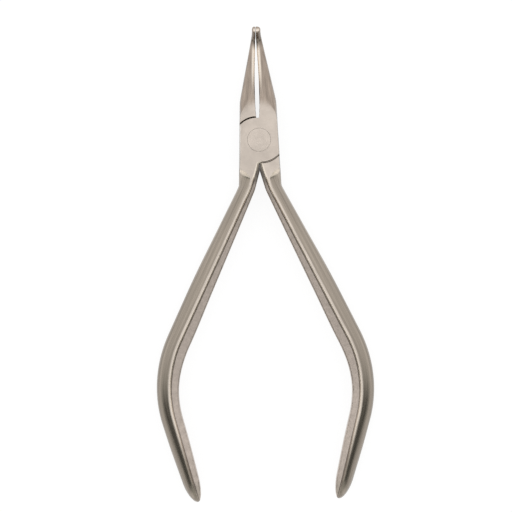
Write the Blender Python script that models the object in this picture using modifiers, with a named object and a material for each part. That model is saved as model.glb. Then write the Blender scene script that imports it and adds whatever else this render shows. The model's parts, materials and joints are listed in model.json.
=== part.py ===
"""Orthodontic pliers: two lapped forged levers on a flush rivet, with short gripping tips bent to the front.

The pliers lie on their back. The pivot axis is Z, the beaks point along +Y and the handles along -Y.
The ground rear faces of the joint and handles lie on Z = 0, and the origin is where the pivot axis meets them.
"""

import math

import bmesh
import bpy
from mathutils import Matrix, Vector

MM = 0.001

# Joint
JOINT_THICKNESS = 8.0 * MM
JOINT_HALF_WIDTH = 5.8 * MM
SIDE_SPREAD = 0.033
CHEEK_RADIUS = 6.65 * MM
CHEEK_OFFSET_X = 0.7 * MM
CHEEK_OFFSET_Y = 0.15 * MM
SHOULDER_GAP = 0.4 * MM
LAP_GAP = 0.1 * MM
CROTCH_HALF_GAP = 0.3 * MM
CHEEK_FLAT = 0.03 * MM
BEAK_WALL_OVERLAP = 0.1 * MM
CROTCH_WALL_OVERLAP = 0.12 * MM

# Rivet
HEAD_RADIUS = 3.4 * MM
REAR_HEAD_RADIUS = 3.0 * MM
SHANK_RADIUS = 2.2 * MM
COUNTERSINK_ANGLE = math.radians(45)
HEAD_RIM = 0.25 * MM
RUNNING_CLEARANCE = 0.05 * MM

# Beaks and tips
BEAK_REACH = 33.5 * MM
BEAK_SHOULDER = 11.4 * MM
BEAK_NECK_HALF_WIDTH = 1.8 * MM
BEAK_NECK_THICKNESS = 2.8 * MM
BEAK_ROOT_OVERLAP = 1.5 * MM
BEAK_ROOT_RUN = 1.3 * MM
BEAK_GAP_COVER = 0.35 * MM
BEAK_ROOT_GAP_HALF = 0.38 * MM
BEAK_GAP_HALF = 0.63 * MM
BEAK_GAP_SHIFT = 0.22 * MM
BEAK_GAP_CLOSING = 16.0 * MM
BEAK_EDGE_CHAMFER = 0.45 * MM
BEAK_CHAMFER_FULL = 14.8 * MM
BEAK_SHOULDER_SOFTNESS = 0.15 * MM
TIP_ANGLE = math.radians(60)
TIP_BEND_RADIUS = 3.0 * MM
TIP_LENGTH = 3.0 * MM
TIP_THICKNESS = 2.3 * MM
TIP_HALF_WIDTH = 1.22 * MM
TIP_HALF_GAP = 0.05 * MM
TIP_ROUNDING = 0.5 * MM
TIP_EDGE_SHARE = 0.25
TIP_WIDTH_SOFTNESS = 0.3 * MM
TIP_THICKNESS_SOFTNESS = 0.1 * MM
SERRATIONS = 4
SERRATION_PITCH = 0.5 * MM
SERRATION_DEPTH = 0.15 * MM
SERRATION_CLEANUP = 0.01 * MM

# Handles: the crest is the raised line along each handle, seen from the front
CREST_COVER = 0.45 * MM
CREST_START = (0.45 * MM, CREST_COVER - CHEEK_RADIUS)
CREST_ROOT = (3.05 * MM, -14.3 * MM)
CREST_ELBOW = (30.2 * MM, -69.8 * MM)
HANDLE_TURN_IN = math.radians(14.7)
HANDLE_REACH = 106.2 * MM
HANDLE_ELBOW_RADIUS = 34.0 * MM
HANDLE_ROOT_RADIUS = 12.0 * MM
CREST_STEP = 0.9 * MM
WEB_FALL = 0.5 * MM
WEB_EDGE_ROUNDING = 0.7 * MM
STEP_RUN = 0.3 * MM
STEP_START = 0.6 * MM
STEP_FULL = 1.0 * MM
WEB_ROOT_OVERLAP = 2.0 * MM
HANDLE_SIDE_SOFTNESS = 0.15 * MM
SECTION_TURN_END = 20.0 * MM
HANDLE_END_ROUNDING = 6.5 * MM
# Share of the crest's length, width of the back, width of the web
HANDLE_WIDTHS = (
    (0.00, 3.25 * MM, 1.20 * MM),
    (0.08, 3.30 * MM, 1.50 * MM),
    (0.20, 3.65 * MM, 1.95 * MM),
    (0.39, 4.15 * MM, 2.60 * MM),
    (0.54, 4.05 * MM, 3.10 * MM),
    (0.70, 3.95 * MM, 2.50 * MM),
    (0.82, 3.65 * MM, 2.40 * MM),
    (0.92, 3.05 * MM, 2.10 * MM),
    (1.00, 2.50 * MM, 1.70 * MM),
)

# Section shapes and how finely they are drawn
HANDLE_BACK_POWER = 1.7
BEAK_POWER = 2.8
GRINDING_ALLOWANCE = 0.5 * MM
SCOOP_CENTRE = (8.3 * MM, -14.2 * MM)
SCOOP_RADIUS = 6.2 * MM
LAND_SHARE = 0.11
CHEEK_SHARE = 0.94
LAND_SOFTNESS = 0.06
BEAK_RUN_OUT_RISE = 0.137 / MM
FORGED_HALF_HEIGHT = 12.0 * MM
FACING_MARGIN = 2.0 * MM
WELD_DISTANCE = 0.001 * MM
ARC_POINTS = 10
CORNER_POINTS = 2
FLARE_STATIONS = 8
BLADE_STATIONS = 8
BEND_STATIONS = 10
TIP_EDGE_STATIONS = 4
HANDLE_STEP = 3.0 * MM
ROOT_STEP = 0.5 * MM
TURN_STEP = math.radians(4)
RIVET_SIDES = 64
SHARP_ANGLE = math.radians(30)

HALF = JOINT_THICKNESS / 2
FAR = 2 * CHEEK_RADIUS

STEEL_COLOUR = (0.56, 0.52, 0.48, 1)
RIVET_COLOUR = (0.60, 0.56, 0.52, 1)


def clear_scene():
    for obj in list(bpy.data.objects):
        bpy.data.objects.remove(obj, do_unlink=True)


def new_collection(name):
    collection = bpy.data.collections.new(name)
    bpy.context.scene.collection.children.link(collection)
    return collection


def steel(name, colour, roughness):
    material = bpy.data.materials.new(name)
    material.use_nodes = True
    shader = material.node_tree.nodes["Principled BSDF"]
    shader.inputs["Base Color"].default_value = colour
    shader.inputs["Roughness"].default_value = roughness
    shader.inputs["Metallic"].default_value = 1
    return material


def add_object(name, mesh, collection, material=None):
    obj = bpy.data.objects.new(name, mesh)
    collection.objects.link(obj)
    if material:
        mesh.materials.append(material)
    return obj


def as_cutter(obj):
    obj.hide_render = True
    obj.display_type = "WIRE"
    return obj


def combine(target, other, operation):
    modifier = target.modifiers.new(other.name, "BOOLEAN")
    modifier.operation = operation
    modifier.object = other
    modifier.solver = "EXACT"


def slope_at(rows, i, column):
    """The slope of one column at row i: the harmonic mean of its neighbours' slopes, so nothing overshoots."""
    slopes = []
    for k in (i - 1, i):
        if 0 <= k < len(rows) - 1:
            slopes.append((rows[k + 1][column] - rows[k][column]) / (rows[k + 1][0] - rows[k][0]))
    if len(slopes) == 1:
        return slopes[0]
    if slopes[0] * slopes[1] <= 0:
        return 0
    return 2 * slopes[0] * slopes[1] / (slopes[0] + slopes[1])


def between(rows, place):
    """The values at a place between rows of (place, value, ...), on a smooth curve through the rows."""
    if place <= rows[0][0]:
        return rows[0][1:]
    if place >= rows[-1][0]:
        return rows[-1][1:]
    i = max(k for k in range(len(rows) - 1) if rows[k][0] <= place)
    span = rows[i + 1][0] - rows[i][0]
    t = (place - rows[i][0]) / span
    values = []
    for column in range(1, len(rows[0])):
        start = (1 + 2 * t) * (1 - t) ** 2 * rows[i][column]
        end = t * t * (3 - 2 * t) * rows[i + 1][column]
        leave = t * (1 - t) ** 2 * span * slope_at(rows, i, column)
        arrive = t * t * (t - 1) * span * slope_at(rows, i + 1, column)
        values.append(start + end + leave + arrive)
    return values


def ramp(value, start, end):
    t = min(max((value - start) / (end - start), 0), 1)
    return t * t * (3 - 2 * t)


def soft_max(a, b, softness):
    return (a + b + math.hypot(a - b, softness)) / 2


def soft_min(a, b, softness):
    return (a + b - math.hypot(a - b, softness)) / 2


def joint_side(y):
    """The distance of the joint's side from the middle: a little wider towards the handles."""
    return JOINT_HALF_WIDTH - SIDE_SPREAD * y


def outer_curve(inner, width, height, top, power):
    """Points from the widest place of a rounded back up to its crown, as (across, up).

    The back is a superellipse of this width and height. Where it is higher than top, grinding cuts it off flat.
    """
    points = []
    for j in range(ARC_POINTS):
        up = top * math.sin(math.pi / 2 * j / ARC_POINTS)
        across = (1 - (up / height) ** power) ** (1 / power)
        points.append((inner + width * across, up))
    points.append((inner, top))
    return points


def mirrored_ring(upper):
    """A closed section from its upper half, which runs from the back's widest point to the inner side."""
    lower = [(across, -up) for across, up in reversed(upper[1:])]
    return upper + lower


def loft(name, rings, collection):
    """A closed body of triangles through rings of points, with a flat cap on each end."""
    count = len(rings[0])
    points = [point for ring in rings for point in ring]
    faces = [tuple(range(count)), tuple(range(len(points) - count, len(points)))]
    for i in range(len(rings) - 1):
        for j in range(count):
            k = (j + 1) % count
            faces.append((i * count + j, i * count + k, (i + 1) * count + k, (i + 1) * count + j))
    mesh = bpy.data.meshes.new(name)
    mesh.from_pydata(points, [], faces)
    made = bmesh.new()
    made.from_mesh(mesh)
    bmesh.ops.recalc_face_normals(made, faces=made.faces)
    bmesh.ops.triangulate(made, faces=made.faces)
    made.to_mesh(mesh)
    made.free()
    mesh.shade_smooth()
    mesh.set_sharp_from_angle(angle=SHARP_ANGLE)
    return add_object(name, mesh, collection)


def plate(name, outline, low, high, collection):
    """A flat outline in plan, as a solid from one height to another."""
    curve = bpy.data.curves.new(name, "CURVE")
    curve.dimensions = "2D"
    curve.fill_mode = "BOTH"
    curve.extrude = (high - low) / 2
    spline = curve.splines.new("POLY")
    spline.points.add(len(outline) - 1)
    for point, (x, y) in zip(spline.points, outline):
        point.co = (x, y, 0, 1)
    spline.use_cyclic_u = True
    drawn = bpy.data.objects.new(name + "_outline", curve)
    collection.objects.link(drawn)
    drawn.location.z = (high + low) / 2
    bpy.context.view_layer.update()
    graph = bpy.context.evaluated_depsgraph_get()
    mesh = bpy.data.meshes.new_from_object(drawn.evaluated_get(graph))
    made = bmesh.new()
    made.from_mesh(mesh)
    bmesh.ops.remove_doubles(made, verts=made.verts, dist=WELD_DISTANCE)
    bmesh.ops.recalc_face_normals(made, faces=made.faces)
    made.to_mesh(mesh)
    made.free()
    obj = add_object(name, mesh, collection)
    obj.matrix_world = drawn.matrix_world
    bpy.data.objects.remove(drawn, do_unlink=True)
    return obj


def turned(name, profile, collection, material=None):
    """A body turned about Z from a profile of (radius, height), listed from the top down."""
    drawn = bpy.data.meshes.new(name + "_profile")
    points = [(radius, 0, height) for radius, height in profile]
    drawn.from_pydata(points, [(i, i + 1) for i in range(len(points) - 1)], [])
    obj = add_object(name, drawn, collection)
    screw = obj.modifiers.new("turn", "SCREW")
    screw.steps = RIVET_SIDES
    screw.render_steps = RIVET_SIDES
    screw.use_merge_vertices = True
    screw.merge_threshold = WELD_DISTANCE
    bpy.context.view_layer.update()
    graph = bpy.context.evaluated_depsgraph_get()
    mesh = bpy.data.meshes.new_from_object(obj.evaluated_get(graph))
    obj.modifiers.clear()
    obj.data = mesh
    mesh.name = name
    mesh.shade_smooth()
    mesh.set_sharp_from_angle(angle=SHARP_ANGLE)
    if material:
        mesh.materials.append(material)
    return obj


def crest_route():
    """Samples along a handle's crest, as (x, y, lean of the crest from -Y)."""
    end_drop = HANDLE_REACH + CREST_ELBOW[1]
    end = (CREST_ELBOW[0] - end_drop * math.tan(HANDLE_TURN_IN), -HANDLE_REACH)
    inside = (CREST_START[0], CHEEK_RADIUS + CHEEK_OFFSET_Y)
    corners = [Vector(corner) for corner in (inside, CREST_START, CREST_ROOT, CREST_ELBOW, end)]
    radii = [0, HANDLE_ROOT_RADIUS / 2, HANDLE_ROOT_RADIUS, HANDLE_ELBOW_RADIUS, 0]
    root = Vector(CREST_ROOT)
    samples = []
    start = corners[0]
    for i in range(1, len(corners)):
        run = (corners[i] - corners[i - 1]).normalized()
        lean = math.atan2(run.x, -run.y)
        stop = corners[i]
        turn = 0
        if radii[i]:
            following = (corners[i + 1] - corners[i]).normalized()
            turn = math.atan2(following.x, -following.y) - lean
            stop = corners[i] - run * radii[i] * math.tan(abs(turn) / 2)
        step = ROOT_STEP if corners[i] == root else HANDLE_STEP
        pieces = max(1, math.ceil((stop - start).length / step))
        for k in range(pieces):
            point = start.lerp(stop, k / pieces)
            samples.append((point.x, point.y, lean))
        start = stop
        pieces = math.ceil(abs(turn) / TURN_STEP)
        for k in range(pieces):
            part = turn * k / pieces
            chord = 2 * radii[i] * math.sin(abs(part) / 2)
            heading = lean + part / 2
            point = stop + chord * Vector((math.sin(heading), -math.cos(heading)))
            samples.append((point.x, point.y, lean + part))
        if pieces:
            chord = 2 * radii[i] * math.sin(abs(turn) / 2)
            heading = lean + turn / 2
            start = stop + chord * Vector((math.sin(heading), -math.cos(heading)))
    samples.append((corners[-1].x, corners[-1].y, samples[-1][2]))
    return samples


def with_lengths(samples):
    """The samples with their distance along the crest, counted from the crotch."""
    lengths = []
    along = 0
    for i, (x, y, lean) in enumerate(samples):
        if i:
            along += math.hypot(x - samples[i - 1][0], y - samples[i - 1][1])
        lengths.append((along, x, y, lean))
    crotch = max(length for length, x, y, lean in lengths if y >= CREST_START[1])
    return [(length - crotch, x, y, lean) for length, x, y, lean in lengths]


def handle_rings(side):
    """Sections of one handle from inside the joint to its rounded end. side is 1 on the right, -1 on the left."""
    samples = with_lengths(crest_route())
    total = samples[-1][0]
    rounded = total - HANDLE_END_ROUNDING
    stations = [sample for sample in samples if sample[0] < rounded]
    last, before = samples[-1], samples[-2]
    for k in range(ARC_POINTS):
        length = rounded + HANDLE_END_ROUNDING * math.sin(math.pi / 2 * k / ARC_POINTS)
        t = (length - before[0]) / (last[0] - before[0])
        x = before[1] + (last[1] - before[1]) * t
        y = before[2] + (last[2] - before[2]) * t
        stations.append((length, x, y, last[3]))
    return [handle_ring(side, station, total) for station in stations]


def ground_share(x, y, tilt, back):
    """How much of the back's width the ground face takes, from the crest at x, y out to the scoop's arc.

    Beyond the scoop it is nearly the whole width at the cheek, and a thin land along the rest of the handle.
    """
    if y < SCOOP_CENTRE[1]:
        return LAND_SHARE
    across, along = SCOOP_CENTRE[0] - x, SCOOP_CENTRE[1] - y
    nearest = across * math.cos(tilt) + along * math.sin(tilt)
    half_chord = SCOOP_RADIUS**2 - across**2 - along**2 + nearest**2
    if half_chord <= 0:
        return CHEEK_SHARE
    reach = (nearest - math.sqrt(half_chord)) / back
    return min(soft_max(reach, LAND_SHARE, LAND_SOFTNESS), CHEEK_SHARE)


def handle_ring(side, station, total):
    """One section of a handle: a rounded back, a thin ground land, then a step down to a forged web."""
    length, x, y, lean = station
    crotch = -CREST_START[1]
    back, web = between(HANDLE_WIDTHS, length / total)
    tilt = lean * ramp(-y, -CHEEK_RADIUS, SECTION_TURN_END)
    wall = (joint_side(y) - x) / math.cos(tilt)
    back = soft_max(back, wall, HANDLE_SIDE_SOFTNESS)
    buried = WEB_ROOT_OVERLAP * (1 - ramp(-y, crotch, CHEEK_RADIUS + CHEEK_OFFSET_Y))
    web = min(web, (x - CROTCH_HALF_GAP) / math.cos(tilt) + buried)
    fine = min(1, web / HANDLE_WIDTHS[1][2])
    remaining = max(total - length, 0) / HANDLE_END_ROUNDING
    end = math.sqrt(1 - (1 - min(remaining, 1)) ** 2)
    power = HANDLE_BACK_POWER
    height = HALF / (1 - ground_share(x, y, tilt, back) ** power) ** (1 / power) * end
    top = min(height, HALF + GRINDING_ALLOWANCE)
    sunk = ramp(-y, crotch - STEP_START, crotch + STEP_FULL) * end
    floor = top - CREST_STEP * sunk
    edge = floor - WEB_FALL * sunk
    upper = outer_curve(0, back * end, height, top, power)
    rounding = WEB_EDGE_ROUNDING * fine * end
    upper.append((-STEP_RUN * fine * end, floor))
    for k in range(CORNER_POINTS + 1):
        angle = math.pi / 2 * k / CORNER_POINTS
        upper.append((-web * end + rounding * (1 - math.sin(angle)), edge - rounding * (1 - math.cos(angle))))
    points = []
    for across, up in mirrored_ring(upper):
        px = x + across * math.cos(tilt)
        py = y + across * math.sin(tilt)
        points.append((side * px, py, HALF + up))
    return points


def beak_stations():
    """Distances along the beak's middle line: close together where the form turns."""
    bend_start = beak_bend_start()
    bend_end = bend_start + TIP_BEND_RADIUS * TIP_ANGLE
    end = bend_end + TIP_LENGTH
    gap_start = CHEEK_RADIUS - BEAK_GAP_COVER
    stations = [CHEEK_FLAT - CHEEK_OFFSET_Y - CHEEK_RADIUS, 0, gap_start - BEAK_ROOT_RUN]
    stations += spread(gap_start, BEAK_SHOULDER, FLARE_STATIONS)
    stations += spread(BEAK_SHOULDER, bend_start, BLADE_STATIONS)
    stations += spread(bend_start, bend_end, BEND_STATIONS)
    stations += [bend_end, end - TIP_LENGTH / 2]
    for k in range(TIP_EDGE_STATIONS):
        stations.append(end - TIP_ROUNDING * (1 - math.sin(math.pi / 2 * k / TIP_EDGE_STATIONS)))
    return stations + [end]


def spread(start, end, count):
    """Evenly spaced places from the start on, with the end left to whatever follows."""
    return [start + (end - start) * k / count for k in range(count)]


def beak_bend_start():
    """Where the beak starts to bend, so that the tip ends at the beak's reach."""
    bend = TIP_BEND_RADIUS * math.sin(TIP_ANGLE)
    straight = TIP_LENGTH * math.cos(TIP_ANGLE)
    return BEAK_REACH - bend - straight - TIP_THICKNESS / 2 * math.sin(TIP_ANGLE)


def gap_edge(side, half):
    """How far right of the pivot the right beak's edge of the gap is, or how far left the left beak's."""
    return half - side * BEAK_GAP_SHIFT


def beak_ring(side, s):
    """One section of a beak, square to its middle line at a distance s from the pivot."""
    bend_start = beak_bend_start()
    bend_end = bend_start + TIP_BEND_RADIUS * TIP_ANGLE
    beyond = s - bend_start
    taper = (joint_side(BEAK_SHOULDER) - BEAK_NECK_HALF_WIDTH) / (bend_start - BEAK_SHOULDER)
    tapered = soft_max(BEAK_NECK_HALF_WIDTH - taper * beyond, TIP_HALF_WIDTH, TIP_WIDTH_SOFTNESS)
    width = soft_min(joint_side(s), tapered, BEAK_SHOULDER_SOFTNESS)
    thinning = (HALF - BEAK_NECK_THICKNESS / 2) / (bend_start - BEAK_SHOULDER)
    thinned = BEAK_NECK_THICKNESS / 2 - thinning * beyond
    height = soft_max(thinned, TIP_THICKNESS / 2, TIP_THICKNESS_SOFTNESS)
    height += BEAK_RUN_OUT_RISE * max(0, BEAK_SHOULDER - s) ** 2
    height = min(height, FORGED_HALF_HEIGHT)
    top = min(height, HALF + GRINDING_ALLOWANCE)
    gap_start = CHEEK_RADIUS - BEAK_GAP_COVER
    inner_rows = (
        (gap_start - BEAK_ROOT_RUN, -BEAK_ROOT_OVERLAP),
        (gap_start, BEAK_ROOT_GAP_HALF),
        (BEAK_SHOULDER, BEAK_GAP_HALF),
        (BEAK_GAP_CLOSING, BEAK_GAP_HALF),
        (bend_end, TIP_HALF_GAP),
    )
    inner = gap_edge(side, between(inner_rows, s)[0])
    chamfer = BEAK_EDGE_CHAMFER * ramp(s, BEAK_SHOULDER, BEAK_CHAMFER_FULL)
    chamfer *= 1 - (1 - TIP_EDGE_SHARE) * ramp(s, bend_start, bend_end)
    left = bend_end + TIP_LENGTH - s
    if left < TIP_ROUNDING:
        drawn_in = TIP_ROUNDING - math.sqrt(max(TIP_ROUNDING**2 - (TIP_ROUNDING - left) ** 2, 0))
        width -= drawn_in
        height -= drawn_in
        top -= drawn_in
    upper = outer_curve(inner + chamfer, width - inner - chamfer, height, top, BEAK_POWER)
    upper.append((inner, top - chamfer))
    turn = min(max(beyond / TIP_BEND_RADIUS, 0), TIP_ANGLE)
    straight = max(s - bend_end, 0)
    y = min(s, bend_start) + TIP_BEND_RADIUS * math.sin(turn) + straight * math.cos(turn)
    z = HALF + TIP_BEND_RADIUS * (1 - math.cos(turn)) + straight * math.sin(turn)
    points = []
    for across, up in mirrored_ring(upper):
        points.append((side * across, y - up * math.sin(turn), z + up * math.cos(turn)))
    return points


def arc(centre, radius, start, end):
    count = math.ceil(abs(end - start) / TURN_STEP)
    points = []
    for k in range(count + 1):
        angle = start + (end - start) * k / count
        points.append((centre[0] + radius * math.cos(angle), centre[1] + radius * math.sin(angle)))
    return points


def turned_half(outline):
    """The outline turned half a turn about the pivot."""
    return [(-x, -y) for x, y in outline]


def mirrored(outline, side):
    return [(side * x, y) for x, y in outline]


def corner_outline(wall):
    """What is cut away outside a cheek's arc at the upper left, as far as an upright wall right of the middle."""
    centre = (-CHEEK_OFFSET_X, -CHEEK_OFFSET_Y)
    stop = math.acos((wall - centre[0]) / CHEEK_RADIUS)
    edge = arc(centre, CHEEK_RADIUS, math.pi, stop)
    return edge + [(wall, FAR), (-FAR, FAR), (-FAR, centre[1])]


def lap_outline():
    """The pocket that a lever's other cheek turns in, between the shoulders at the upper right and lower left."""
    centre = (CHEEK_OFFSET_X, -CHEEK_OFFSET_Y)
    radius = CHEEK_RADIUS + SHOULDER_GAP
    start = math.acos(-centre[0] / radius)
    edge = arc(centre, radius, start, 0)
    half = [(0, FAR)] + edge + [(FAR, centre[1]), (FAR, -FAR)]
    return half + turned_half(half)


def rivet_profile(clearance):
    """The rivet's outline from its front face down to its rear face, grown by a clearance."""
    grow = clearance / math.cos(COUNTERSINK_ANGLE / 2)
    shank = SHANK_RADIUS + clearance
    head = HEAD_RADIUS + grow
    rear = REAR_HEAD_RADIUS + grow
    beyond = GRINDING_ALLOWANCE if clearance else 0
    front_depth = HEAD_RIM + (head - shank) / math.tan(COUNTERSINK_ANGLE)
    rear_depth = HEAD_RIM + (rear - shank) / math.tan(COUNTERSINK_ANGLE)
    return [
        (0, JOINT_THICKNESS + beyond),
        (head, JOINT_THICKNESS + beyond),
        (head, JOINT_THICKNESS - HEAD_RIM),
        (shank, JOINT_THICKNESS - front_depth),
        (shank, rear_depth),
        (rear, HEAD_RIM),
        (rear, -beyond),
        (0, -beyond),
    ]


def serration_cutter(name, side, cutters):
    """A comb of V teeth that cuts the serrations across a tip's gripping face."""
    grip = gap_edge(side, TIP_HALF_GAP)
    crest = grip + SERRATION_CLEANUP
    run = SERRATIONS * SERRATION_PITCH
    outline = [(grip - SERRATION_PITCH, run), (grip - SERRATION_PITCH, 0), (crest, 0)]
    for k in range(SERRATIONS):
        outline.append((grip + SERRATION_DEPTH, (k + 0.5) * SERRATION_PITCH))
        outline.append((crest, (k + 1) * SERRATION_PITCH))
    comb = plate(name + "_comb", mirrored(outline, side), -TIP_THICKNESS, TIP_THICKNESS, cutters)
    start = (TIP_LENGTH - run) / 2
    bend_centre = Vector((0, beak_bend_start(), HALF + TIP_BEND_RADIUS))
    tip = Matrix.Translation(bend_centre) @ Matrix.Rotation(TIP_ANGLE, 4, "X")
    comb.matrix_world = tip @ Matrix.Translation((0, start, -TIP_BEND_RADIUS)) @ comb.matrix_world
    return as_cutter(comb)


def facing_cutters(cutters):
    """What grinding takes off the front and rear of the joint and the handles."""
    y_low = -HANDLE_REACH - FAR
    y_high = BEAK_SHOULDER + FACING_MARGIN
    x = CREST_ELBOW[0] + FAR
    outline = [(-x, y_low), (x, y_low), (x, y_high), (-x, y_high)]
    front = plate("front_facing", outline, JOINT_THICKNESS, JOINT_THICKNESS + FAR, cutters)
    rear = plate("rear_facing", outline, -FAR, 0, cutters)
    return [as_cutter(front), as_cutter(rear)]


def make_lever(name, beak_side, is_front, parts, cutters, shared, material):
    """A lever with its beak on one side, its handle on the other, and one half-thickness cheek between them."""
    lever = loft(name, handle_rings(-beak_side), parts)
    lever.data.materials.append(material)
    low, high = -HALF, JOINT_THICKNESS + HALF
    beak_wall = gap_edge(beak_side, BEAK_ROOT_GAP_HALF) + BEAK_WALL_OVERLAP
    corner = mirrored(corner_outline(beak_wall), beak_side)
    combine(lever, as_cutter(plate(name + "_beak_corner", corner, low, high, cutters)), "DIFFERENCE")
    beak_rings = [beak_ring(beak_side, s) for s in beak_stations()]
    beak = as_cutter(loft(name + "_beak", beak_rings, cutters))
    corner = mirrored(turned_half(corner_outline(CREST_START[0] + CROTCH_WALL_OVERLAP)), beak_side)
    combine(beak, as_cutter(plate(name + "_crotch_corner", corner, low, high, cutters)), "DIFFERENCE")
    combine(lever, beak, "UNION")
    if is_front:
        high = HALF + LAP_GAP / 2
    else:
        low = HALF - LAP_GAP / 2
    lap = plate(name + "_lap", mirrored(lap_outline(), beak_side), low, high, cutters)
    combine(lever, as_cutter(lap), "DIFFERENCE")
    for cutter in shared:
        combine(lever, cutter, "DIFFERENCE")
    combine(lever, serration_cutter(name, beak_side, cutters), "DIFFERENCE")
    return lever


def main():
    clear_scene()
    parts = new_collection("orthodontic_pliers")
    cutters = new_collection("cutters")
    satin = steel("satin_steel", STEEL_COLOUR, 0.35)
    rivet_steel = steel("rivet_steel", RIVET_COLOUR, 0.30)
    shared = facing_cutters(cutters)
    bore = as_cutter(turned("rivet_bore", rivet_profile(RUNNING_CLEARANCE), cutters))
    shared.append(bore)
    make_lever("front_lever", 1, True, parts, cutters, shared, satin)
    make_lever("rear_lever", -1, False, parts, cutters, shared, satin)
    turned("pivot_rivet", rivet_profile(0), parts, rivet_steel)


main()
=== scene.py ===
"""Looks of the orthodontic pliers: a ground lap joint, satin backs on handles and beaks, and forged webs.

The two levers are drawn again, finer than the frame's solids and with edges rounded as by wear, and stand
in for them.
The rivet keeps its solid. Everything is in metres, in the frame's axes: Z up, beaks along +Y.
"""

import json
import math

import bmesh
import bpy
import numpy as np
from mathutils import Matrix, Vector, noise

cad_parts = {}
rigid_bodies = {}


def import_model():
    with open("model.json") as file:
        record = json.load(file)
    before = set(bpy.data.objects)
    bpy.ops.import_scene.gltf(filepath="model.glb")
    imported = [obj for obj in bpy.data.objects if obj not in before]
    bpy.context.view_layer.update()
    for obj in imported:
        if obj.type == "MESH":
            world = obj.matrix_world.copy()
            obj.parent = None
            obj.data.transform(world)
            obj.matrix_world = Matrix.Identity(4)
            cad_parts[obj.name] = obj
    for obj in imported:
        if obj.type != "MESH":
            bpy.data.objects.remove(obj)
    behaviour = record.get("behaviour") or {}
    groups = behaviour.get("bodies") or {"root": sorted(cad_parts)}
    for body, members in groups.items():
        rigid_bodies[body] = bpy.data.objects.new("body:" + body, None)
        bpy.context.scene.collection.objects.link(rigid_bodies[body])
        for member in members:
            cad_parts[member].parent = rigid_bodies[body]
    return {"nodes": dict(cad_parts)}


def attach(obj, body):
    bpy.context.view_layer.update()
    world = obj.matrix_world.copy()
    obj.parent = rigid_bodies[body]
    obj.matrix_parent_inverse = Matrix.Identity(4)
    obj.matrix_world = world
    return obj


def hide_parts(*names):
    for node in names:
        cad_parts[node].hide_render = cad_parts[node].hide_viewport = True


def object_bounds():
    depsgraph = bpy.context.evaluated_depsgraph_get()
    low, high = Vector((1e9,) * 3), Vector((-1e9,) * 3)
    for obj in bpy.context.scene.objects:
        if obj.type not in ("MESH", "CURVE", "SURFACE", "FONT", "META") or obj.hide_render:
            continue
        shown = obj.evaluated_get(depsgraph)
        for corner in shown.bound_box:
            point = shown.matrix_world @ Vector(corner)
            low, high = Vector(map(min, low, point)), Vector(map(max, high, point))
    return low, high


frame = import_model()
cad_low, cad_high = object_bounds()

MM = 0.001

# Joint
JOINT_THICKNESS = 8.0 * MM
JOINT_HALF_WIDTH = 5.8 * MM
SIDE_SPREAD = 0.033
CHEEK_RADIUS = 6.65 * MM
CHEEK_OFFSET_X = 0.7 * MM
CHEEK_OFFSET_Y = 0.15 * MM
SHOULDER_GAP = 0.4 * MM
LAP_GAP = 0.1 * MM
CROTCH_HALF_GAP = 0.02 * MM
CHEEK_FLAT = 0.03 * MM
BEAK_WALL_OVERLAP = 0.1 * MM
CROTCH_WALL_OVERLAP = 0.12 * MM

# Rivet
HEAD_RADIUS = 3.4 * MM
REAR_HEAD_RADIUS = 3.0 * MM
SHANK_RADIUS = 2.2 * MM
COUNTERSINK_ANGLE = math.radians(45)
HEAD_RIM = 0.25 * MM
RUNNING_CLEARANCE = 0.05 * MM

# Beaks and tips
BEAK_REACH = 33.5 * MM
BEAK_SHOULDER = 11.4 * MM
BEAK_NECK_HALF_WIDTH = 1.8 * MM
BEAK_NECK_THICKNESS = 2.8 * MM
BEAK_ROOT_OVERLAP = 1.5 * MM
BEAK_ROOT_RUN = 1.3 * MM
BEAK_GAP_COVER = 0.35 * MM
BEAK_ROOT_GAP_HALF = 0.38 * MM
BEAK_GAP_HALF = 0.63 * MM
BEAK_GAP_SHIFT = 0.22 * MM
BEAK_GAP_CLOSING = 16.0 * MM
BEAK_EDGE_CHAMFER = 0.45 * MM
BEAK_CHAMFER_FULL = 14.8 * MM
BEAK_SHOULDER_SOFTNESS = 0.15 * MM
TIP_ANGLE = math.radians(60)
TIP_BEND_RADIUS = 3.0 * MM
TIP_LENGTH = 3.0 * MM
TIP_THICKNESS = 2.3 * MM
TIP_HALF_WIDTH = 1.22 * MM
TIP_HALF_GAP = 0.05 * MM
TIP_ROUNDING = 0.5 * MM
TIP_EDGE_SHARE = 0.25
TIP_WIDTH_SOFTNESS = 0.3 * MM
TIP_THICKNESS_SOFTNESS = 0.1 * MM
SERRATIONS = 4
SERRATION_PITCH = 0.5 * MM
SERRATION_DEPTH = 0.15 * MM
SERRATION_CLEANUP = 0.01 * MM

# Handles: the crest is the raised line along each handle, seen from the front
CREST_COVER = 0.45 * MM
CREST_START = (0.45 * MM, CREST_COVER - CHEEK_RADIUS)
CREST_ROOT = (3.05 * MM, -14.3 * MM)
CREST_ELBOW = (30.2 * MM, -69.8 * MM)
HANDLE_TURN_IN = math.radians(14.7)
HANDLE_REACH = 106.2 * MM
HANDLE_ELBOW_RADIUS = 34.0 * MM
HANDLE_ROOT_RADIUS = 12.0 * MM
CREST_STEP = 0.75 * MM
WEB_FALL = 0.12 * MM
WEB_EDGE_ROUNDING = 0.4 * MM
STEP_RUN = 0.45 * MM
STEP_START = 0.6 * MM
STEP_FULL = 1.0 * MM
WEB_ROOT_OVERLAP = 2.0 * MM
HANDLE_SIDE_SOFTNESS = 0.15 * MM
SECTION_TURN_END = 20.0 * MM
HANDLE_END_ROUNDING = 6.5 * MM
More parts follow.
